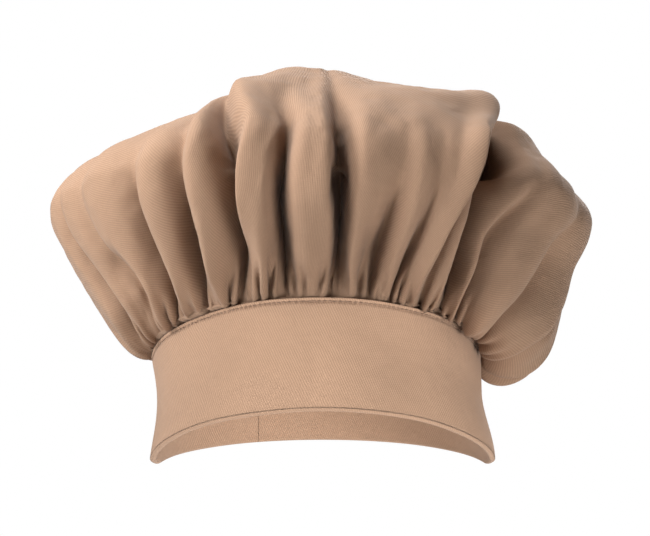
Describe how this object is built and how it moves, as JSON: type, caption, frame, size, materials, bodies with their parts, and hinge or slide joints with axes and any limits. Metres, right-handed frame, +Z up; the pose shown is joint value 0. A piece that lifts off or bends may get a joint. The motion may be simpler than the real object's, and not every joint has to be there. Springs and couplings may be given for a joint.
{
  "type": "chef toque",
  "caption": "Cook's cloth hat with a large gathered crown, a stiffened folded headband and a hook-and-loop closure at the back.",
  "frame": {"origin": "centre of the head opening, on the plane the two side feet of the headband stand on", "axes": "+Z up out of the head, -Y the front of the hat, +Y the back with the closure, +X the wearer's left"},
  "size_m": [0.2864, 0.2962, 0.211],
  "materials": {
    "band_twill": "stiffened cotton twill, matt",
    "crown_twill": "soft cotton twill, matt",
    "interfacing": "non-woven interfacing, matt",
    "thread": "spun polyester sewing thread",
    "loop_tape": "napped loop tape",
    "hook_tape": "woven hook tape",
    "label_satin": "woven satin label, blank"
  },
  "bodies": {
    "headband": {"headband": "band_twill", "headband_interfacing": "interfacing", "gathering_threads": "thread", "topstitch_needle_thread": "thread", "topstitch_bobbin_thread": "thread", "crown_side": "crown_twill", "loop_strip": "loop_tape", "loop_strip_stitching": "thread", "tab_anchor_stitches": "thread", "care_label_stitches": "thread"},
    "crown_top": {"crown_top": "crown_twill"},
    "closure_tab": {"closure_tab": "band_twill", "closure_tab_interfacing": "interfacing", "hook_strip": "hook_tape", "hook_strip_stitching": "thread", "tab_edge_stitching": "thread"},
    "care_label": {"care_label": "label_satin"}
  },
  "joints": [
    {"name": "crown_press", "type": "slide", "parent": "headband", "child": "crown_top", "axis": [0, 0, -1], "range_m": [0, 0.06], "stiffness_N_per_m": 60, "springref_m": -0.01},
    {"name": "tab_peel", "type": "hinge", "parent": "headband", "child": "closure_tab", "pos_m": [-0.04, 0.0943, 0.047], "axis": [0, 0, 1], "range_deg": [0, 110]},
    {"name": "label_flip", "type": "hinge", "parent": "headband", "child": "care_label", "pos_m": [0, 0.0951, 0.069], "axis": [-1, 0, 0], "range_deg": [0, 80]}
  ]
}
